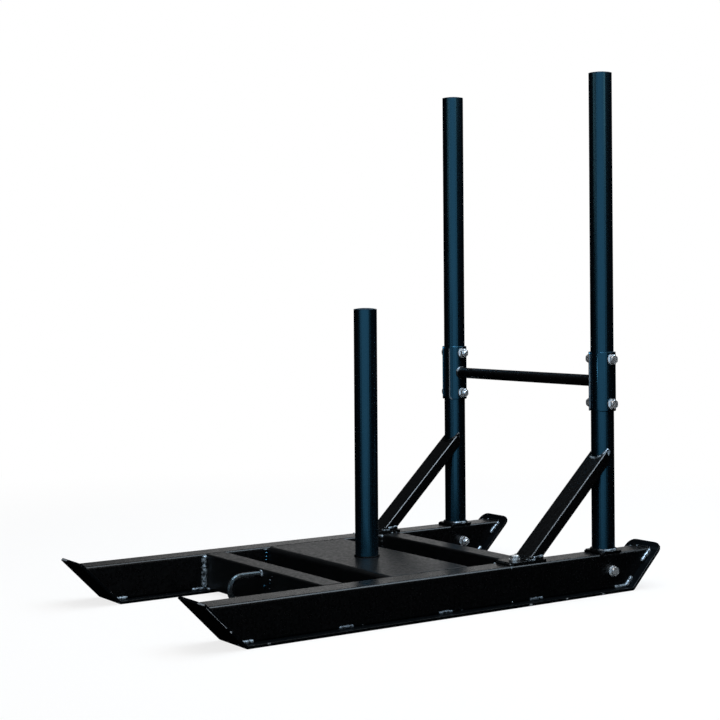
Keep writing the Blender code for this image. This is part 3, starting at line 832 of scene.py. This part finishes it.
# %% The load deck
DABS_BELOW_TOP = (0.012, 0.020, 0.028)
DAB_REACH = (0, 0, 0.002)
deck_low, deck_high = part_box("load_deck")
beads = []
for sign in (-1, 1):
    x = sign * (inner_side - 0.0012)
    rear = deck_high.y + 0.0004
    beads.append((
        ((x, rear, deck_low.z + 0.001), (x, rear, deck_high.z - 0.006)), 0.0040, DARK,
    ))
    beads.append(lump((x, deck_low.y - 0.0050, deck_high.z - 0.0048), 0.0052, DAB_REACH))
    for below in DABS_BELOW_TOP:
        dab = (x, deck_low.y - 0.0042, deck_high.z - below)
        beads.append(lump(dab, 0.0040, DAB_REACH, BLUE))
weld("load_deck_welds", beads)

# %% [markdown]
# ## Round the plate post
#
# Where a round tube stands on a plate, the bead runs right round it. An arc of points stands in
# for this seam and for every other round one. The post's bead is thin and dull.

# %% Round the plate post
RING_STEPS = 40
WHOLE = (0, 360)
along_x, along_y, along_z = Vector((1, 0, 0)), Vector((0, 1, 0)), Vector((0, 0, 1))


def arc_points(centre, radius, first, second, turns=WHOLE, lift=None):
    """Points of an arc in the plane of two directions; lift moves each point off that plane."""
    points = []
    for step in range(RING_STEPS + 1):
        turn = math.radians(turns[0] + (turns[1] - turns[0]) * step / RING_STEPS)
        spot = centre + first * radius * math.cos(turn) + second * radius * math.sin(turn)
        points.append(spot + lift(turn) if lift else spot)
    return points


post_low, post_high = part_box("weight_post")
post_radius = (post_high.x - post_low.x) / 2
post_foot = Vector((0, (post_low.y + post_high.y) / 2, post_low.z + 0.0004))
weld("weight_post_weld", [
    (arc_points(post_foot, post_radius + 0.0005, along_x, along_y), 0.0020, BURNT),
])

# %% [markdown]
# ## Round the uprights
#
# Each upright is welded to its base plate. The ring is black all round, with one bright stretch
# laid over it, towards the sled's left: a painted highlight where the ring faces the camera and the
# lamps. In front, a bead holds the plate to the rail and turns down at the plate's left corner.
# The heat left the paint on it dull.

# %% Round the uprights
FOOT_RING_HIGHLIGHT = (-46, 32)  # degrees round from the sled's left
for side, _ in SIDES:
    low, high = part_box(f"upright_{side}")
    plate_low, plate_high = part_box(f"upright_base_plate_{side}")
    foot = Vector(((low.x + high.x) / 2, (low.y + high.y) / 2, plate_high.z + 0.0008))
    ring = (high.x - low.x) / 2 + 0.0012
    front, base = plate_low.y - 0.0010, plate_low.z + 0.001
    weld(f"upright_foot_weld_{side}", [
        (arc_points(foot, ring, along_x, along_y), 0.0034, DARK),
        # Painted highlight on the stretch of the ring that faces the lamps.
        (arc_points(foot, ring + 0.0004, along_x, along_y, FOOT_RING_HIGHLIGHT), 0.0036),
        (((plate_low.x + 0.003, front, base), (plate_high.x - 0.004, front, base),
          (plate_high.x - 0.0005, front, plate_low.z - 0.006)), 0.0043, BURNT),
    ])

# %% [markdown]
# ## The tow loop's two legs
#
# The loop is a bent round bar, butted against the crossbar and welded round each leg. The seam
# stands upright, so its arc lies in the plane across the sled. A second, slightly fatter bead lies
# over the arc up its left side and over the top, in the bright finish: a painted highlight where
# the seam faces the camera and the lamps.

# %% The tow loop's two legs
LOOP_WELD_HIGHLIGHT = (-30, 100)
loop_low, loop_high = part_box("tow_loop")
bar_radius = (loop_high.x - loop_low.x) / 2
leg_heights = (loop_low.z + bar_radius, loop_high.z - bar_radius)
leg_ends = [Vector((0, loop_high.y - 0.0004, height)) for height in leg_heights]
seams = [
    (arc_points(end, bar_radius + 0.0006, along_x, along_z), 0.0024, DARK) for end in leg_ends
]
highlight_beads = [
    (arc_points(end, bar_radius + 0.0008, along_x, along_z, LOOP_WELD_HIGHLIGHT), 0.0027)
    for end in leg_ends
]
weld("tow_loop_welds", seams + highlight_beads)

# %% [markdown]
# ## The push bar on its clamps
#
# The push bar ends on the round side of a clamp shell, so its seam is no flat ring: it bends back
# round the shell. Pythagoras gives how far. A point of the ring that lies y in front of the
# upright's middle stands off by the square root of the shell's radius squared less y squared. The
# seam is black, with a bright stretch over its upper part: a painted highlight.

# %% The push bar on its clamps
LAST_QUARTER = (95, 175)
bar_low, bar_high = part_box("push_bar")
push_radius = (bar_high.z - bar_low.z) / 2
push_middle = Vector((0, (bar_low.y + bar_high.y) / 2, (bar_low.z + bar_high.z) / 2))
shell_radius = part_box("clamp_outer_left")[1].x - rail_middle


def shell_stands_off(turn):
    """How far the shell's round side stands from the upright's middle at this point."""
    return math.sqrt(shell_radius ** 2 - (push_radius * math.cos(turn)) ** 2)


for side, sign in SIDES:
    def onto_shell(turn):
        """Way from the upright's middle to the shell, towards the sled's middle."""
        return along_x * -sign * shell_stands_off(turn)

    seam = push_middle + along_x * sign * rail_middle
    whole = arc_points(seam, push_radius + 0.0005, along_y, along_z, WHOLE, onto_shell)
    # Painted highlight: the bright finish on the seam's upper stretch.
    upper = arc_points(seam, push_radius + 0.0008, along_y, along_z, LAST_QUARTER, onto_shell)
    weld(f"push_bar_weld_{side}", [(whole, 0.0028, DARK), (upper, 0.0030)])

# %% [markdown]
# ## The braces' heads
# Each brace is sawn to the round of its upright, so its seam is a curve in space: a little way up
# the brace's left side, then across its sloping top face, round the tube. It could be found by
# cutting one mesh with another, but the slope of the brace and the circle of the upright give it
# with plain arithmetic. On the left brace the whole seam has the bright finish, on the right one
# only its corner: a painted highlight where the seam faces the camera and the lamps.

# %% The braces' heads
BRACE_RISE = math.radians(43.7)
BRACE_DEPTH = 0.025
SEAM_STEPS = 12  # from the brace's edge to its middle line
SEAM_POINTS = 19  # half as far again, to where the tube hides the seam
DOWN_THE_SIDE = (0.40, 0.20, 0.05)  # shares of the side's height


def brace_head(side):
    """Beads where one brace meets its upright."""
    brace_low, brace_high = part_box(f"brace_{side}")
    tube_low, tube_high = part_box(f"upright_{side}")
    middle = Vector(((tube_low.x + tube_high.x) / 2, (tube_low.y + tube_high.y) / 2, 0))
    tube_radius = (tube_high.x - tube_low.x) / 2
    half = (brace_high.x - brace_low.x) / 2

    seam = []
    for step in range(SEAM_POINTS):
        x = half * (1 - step / SEAM_STEPS)
        y = middle.y - math.sqrt(max((tube_radius + 0.0004) ** 2 - x ** 2, 0)) - 0.002
        top_face = brace_low.z + (y - brace_low.y) * math.tan(BRACE_RISE)
        seam.append(Vector((middle.x + x, y, top_face + 0.0002)))
    drop = along_z * (BRACE_DEPTH / math.cos(BRACE_RISE))
    near_side = [seam[0] + along_x * 0.0003 - drop * share for share in DOWN_THE_SIDE]
    # Painted highlight: all of the left seam, only the camera-side corner of the right one.
    if side == "left":
        return [(near_side + seam, 0.0028)]
    return [(near_side + seam, 0.0026, DARK), (near_side[2:] + seam[:2], 0.0028)]


print("the braces rise at", round(math.degrees(BRACE_RISE), 1), "degrees")

# %% [markdown]
# ## The braces' feet
#
# At the foot a pad closes the brace, and lies on the foot plate that is bolted to the rail. Short
# beads hold the brace to the pad at its sides, thin ones hold the pad to the plate, and black
# ones close the fronts of all three. Lumps at the plate's front corners tack it to the rail.
# Then both braces are welded, head and foot.

# %% The braces' feet
SIDE_BEAD = 0.0026
PAD_BEAD = 0.0020
FRONT_BEAD = 0.0024


def brace_feet(side):
    """Beads between one brace, its pad, the foot plate and the rail."""
    brace_low, brace_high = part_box(f"brace_{side}")
    pad_low, pad_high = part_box(f"brace_pad_{side}")
    plate_low, plate_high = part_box(f"brace_foot_{side}")
    tube_low, tube_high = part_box(f"upright_{side}")
    middle_x = (tube_low.x + tube_high.x) / 2
    half = (brace_high.x - brace_low.x) / 2
    foot_z = pad_high.z + 0.0004
    back = brace_low.y + BRACE_DEPTH / math.sin(BRACE_RISE)
    pad_y, pad_z = pad_low.y, pad_low.z + 0.001
    feet = []
    for face in (-1, 1):
        x = middle_x + face * half
        start, end = (x, back - 0.028, foot_z - 0.001), (x, back - 0.003, foot_z + 0.001)
        feet.append(((start, end), SIDE_BEAD))
        feet.append((((x, pad_y + 0.001, pad_z), (x, pad_y + 0.020, pad_z)), PAD_BEAD))
        tack = (x - face * 0.0015, pad_y - 0.0005, pad_low.z + 0.0022)
        feet.append(lump(tack, 0.0024, (0, 0.0006, 0)))
    for start, end, y, z, radius in (
        (middle_x - half, middle_x + half, brace_low.y - 0.0008, foot_z, FRONT_BEAD),
        (pad_low.x + 0.002, pad_high.x - 0.003, pad_y - 0.0006, pad_low.z + 0.0012, FRONT_BEAD),
        (plate_low.x + 0.003, plate_high.x - 0.003, plate_low.y - 0.0018, plate_low.z + 0.0012,
         0.0036),
    ):
        feet.append((((start, y, z), (end, y, z)), radius, DARK))
    for corner, out in ((plate_low.x, -0.0010), (plate_high.x, 0.0010)):
        tack = (corner + out, plate_low.y - 0.0050, plate_low.z - 0.0026)
        feet.append(lump(tack, 0.0038, (0, 0.0014, 0)))
    return feet


for side, _ in SIDES:
    weld(f"brace_head_weld_{side}", brace_head(side))
    weld(f"brace_foot_welds_{side}", brace_feet(side))

# %% [markdown]
# ## The room that black paint mirrors
#
# The photograph is a product shot on white, and its black paint tells how it was lit. The top
# faces mirror a bright backdrop behind the sled, while the upright faces mirror darkness. A room
# could be modelled round the sled, but it would light the sled as well as be mirrored in it. The
# world shader keeps the two apart: Light Path tells which ray is asking.
#
# The camera's own rays see plain white. Rays that a surface mirrors, or lets through, see white
# only towards the backdrop. All other rays find a dim glow overhead and darkness below it.

# %% The room
BACKDROP_ASIDE = 0.03
BACKDROP_EDGE = (0.955, 1.006)  # cosine of the angle from the backdrop's middle
GLOW_HEIGHTS = (0.20, 0.60)
GLOW_LEVELS = (0.002, 0.04)


def show_mixed(tree, share, plain, other, output):
    """Shows a mix of two shaders, with `share` of the other one in it."""
    mix = tree.nodes.new("ShaderNodeMixShader")
    for source, socket in ((share, "Fac"), (plain, 1), (other, 2)):
        tree.links.new(source, mix.inputs[socket])
    tree.links.new(mix.outputs["Shader"], output.inputs["Surface"])


world = bpy.data.worlds.new("studio")
bpy.context.scene.world = world
world.use_nodes = True
tree = world.node_tree
tree.nodes.clear()
output = tree.nodes.new("ShaderNodeOutputWorld")
ray = tree.nodes.new("ShaderNodeLightPath")
sky_place = tree.nodes.new("ShaderNodeTexCoord")
backdrop_way = (ahead + across * BACKDROP_ASIDE).normalized()
facing = vector_math(tree, "DOT_PRODUCT", sky_place.outputs["Generated"], backdrop_way)
height = tree.nodes.new("ShaderNodeSeparateXYZ")
tree.links.new(sky_place.outputs["Generated"], height.inputs["Vector"])
backdrop = ramp(tree, facing.outputs["Value"], *BACKDROP_EDGE, 0.0, 1.0)
glow = ramp(tree, height.outputs["Z"], *GLOW_HEIGHTS, *GLOW_LEVELS)
room = tree.nodes.new("ShaderNodeBackground")
room.inputs["Color"].default_value = (0.88, 0.95, 1.0, 1)
tree.links.new(glow, room.inputs["Strength"])
white = tree.nodes.new("ShaderNodeBackground")
white.inputs["Color"].default_value = (1, 1, 1, 1)
mirrored = combine(tree, "ADD", ray.outputs["Is Glossy Ray"], ray.outputs["Is Transmission Ray"])
sees_white = combine(
    tree, "ADD", ray.outputs["Is Camera Ray"], combine(tree, "MULTIPLY", mirrored, backdrop),
)
show_mixed(tree, sees_white, room.outputs["Background"], white.outputs["Background"], output)
print("room glows", GLOW_LEVELS[1], "overhead and", GLOW_LEVELS[0], "at the sides")

# %% [markdown]
# ## Boxes above the sled
#
# Soft boxes are the big diffuse lamps of a studio. Radiance is the handy way to set them, because
# a face that is lit all round by radiance 1 renders in the colour that it was given. An area lamp
# wants watts instead, which are radiance times pi times its area.
#
# Three boxes light the sled from overhead and behind. The key box is far too bright for that: it
# is wanted as a highlight along the edges alone, and is hidden from diffuse rays.

# %% Boxes above the sled
def soft_box(name, centre, aim, width, height, radiance, colour=(0.97, 0.99, 1.0), oval=False):
    """Area lamp that faces a point; radiance 1 lights a facing surface as it is written."""
    data = bpy.data.lights.new(name, "AREA")
    data.shape = "ELLIPSE" if oval else "RECTANGLE"
    data.size = width
    data.size_y = height
    area = width * height * (math.pi / 4 if oval else 1)
    data.energy = radiance * math.pi * area
    data.color = colour
    lamp = bpy.data.objects.new(name, data)
    bpy.context.scene.collection.objects.link(lamp)
    lamp.location = centre
    lamp.rotation_euler = (Vector(centre) - Vector(aim)).to_track_quat("Z", "Y").to_euler()
    print(name, "of", width, "by", height, "m, radiance", radiance)
    return lamp


soft_box("overhead_box", (0.6, 0.3, 3.0), (0.3, 0.3, 0), 1.8, 3.0, 1.8)
soft_box("rear_strip", (0.3, 2.1, 3.0), (0, 0.2, 0), 4.0, 1.4, 4.5, (0.72, 0.87, 1.0))
soft_box("right_rear_box", (2.1, 2.0, 2.3), (0.2, 0, 0.1), 1.6, 1.2, 0.5)
key = soft_box("key_box", (1.2, -0.65, 3.0), (0.2, 0, 0.3), 2.0, 1.4, 19.0, (0.70, 0.85, 1.0))
key.visible_diffuse = False

# %% [markdown]
# ## Boxes that only light, and a card that is only mirrored
#
# Black paint hides how brightly a thing is lit, but a pale finish shows it. So two big boxes,
# overhead and beside the camera, bring the light to a plain level. They are hidden from glossy
# rays, or the paint would mirror them too.
#
# The teal band on the tubes needs the opposite: a large pale card beside the camera that the
# tubes mirror and nothing is lit by. It stands a little nearer than the box, because two lamps in
# one place disturb each other's reflections.

# %% Boxes that only light, and a card
CARD_SIZE = (8.0, 3.2)
NEARER = 0.97

ceiling = soft_box("ceiling_box", (0.1, -0.1, 3.2), (0, 0, 0), 4.0, 4.0, 1.5)
ceiling.visible_glossy = False
beside_camera = EYE * 1.15 - across * 0.5
box_place = (beside_camera.x, beside_camera.y, 1.0)
camera_side = soft_box("camera_side_box", box_place, (0, 0, 1.0), *CARD_SIZE, 1.2, oval=True)
camera_side.visible_glossy = False
card_place = (beside_camera.x * NEARER, beside_camera.y * NEARER, 1.0)
card = soft_box(
    "camera_side_card", card_place, (0, 0, 1.0), *CARD_SIZE, 0.95, (0.63, 0.83, 1.0), oval=True,
)
card.visible_diffuse = False

# %% [markdown]
# ## Two warm side boxes
#
# A tube that mirrors only the card has nothing at its margins. Two narrow boxes, at the left and
# the right of the picture, put a faint warm light there, and a warm glint on the bolts.

# %% Two warm side boxes
WARM = (1.0, 0.85, 0.75)
soft_box("left_box", (-0.2, -1.5, 1.40), (0.0, 0.4, 1.0), 0.35, 0.9, 2.4, WARM)
soft_box("right_box", (3.0, 0.42, 1.75), (0.0, 0.4, 1.0), 0.5, 1.1, 2.4, WARM)

# %% [markdown]
# ## Floor
#
# The sled stands on a pale floor that runs into the white behind it. A bright enough floor would
# do that, but would light the sled from below as well. So the camera sees plain white far out, and
# four fifths of white near the sled, where the rest is a matt surface that keeps the shadow. The
# upright faces of the sled mirror darkness, so the floor is hidden from glossy rays.

# %% Floor
FLOOR_HALF = 14
BELOW_SKIDS = 0.0004
WHITE_SHARES = (0.80, 1.0)
FADE = (0.7, 2.6)  # metres from the sled's middle

bm = bmesh.new()
bmesh.ops.create_grid(bm, x_segments=1, y_segments=1, size=FLOOR_HALF)
floor_mesh = bpy.data.meshes.new("floor")
bm.to_mesh(floor_mesh)
bm.free()
floor = bpy.data.objects.new("floor", floor_mesh)
bpy.context.scene.collection.objects.link(floor)
floor.location.z = -BELOW_SKIDS
floor.visible_glossy = False
floor_paint = bpy.data.materials.new("pale_floor")
floor_paint.use_nodes = True
tree = floor_paint.node_tree
tree.nodes.clear()
output = tree.nodes.new("ShaderNodeOutputMaterial")
ray = tree.nodes.new("ShaderNodeLightPath")
matt = tree.nodes.new("ShaderNodeBsdfDiffuse")
matt.inputs["Color"].default_value = (0.86, 0.86, 0.86, 1)
lit = tree.nodes.new("ShaderNodeEmission")
lit.inputs["Color"].default_value = (1, 1, 1, 1)
floor_place = tree.nodes.new("ShaderNodeTexCoord")
far = vector_math(tree, "LENGTH", floor_place.outputs["Object"])
fade = ramp(tree, far.outputs["Value"], *FADE, *WHITE_SHARES)
share = combine(tree, "MULTIPLY", ray.outputs["Is Camera Ray"], fade)
show_mixed(tree, share, matt.outputs["BSDF"], lit.outputs["Emission"], output)
floor_mesh.materials.append(floor_paint)
print("floor", 2 * FLOOR_HALF, "m wide, white from", FADE[1], "m out")
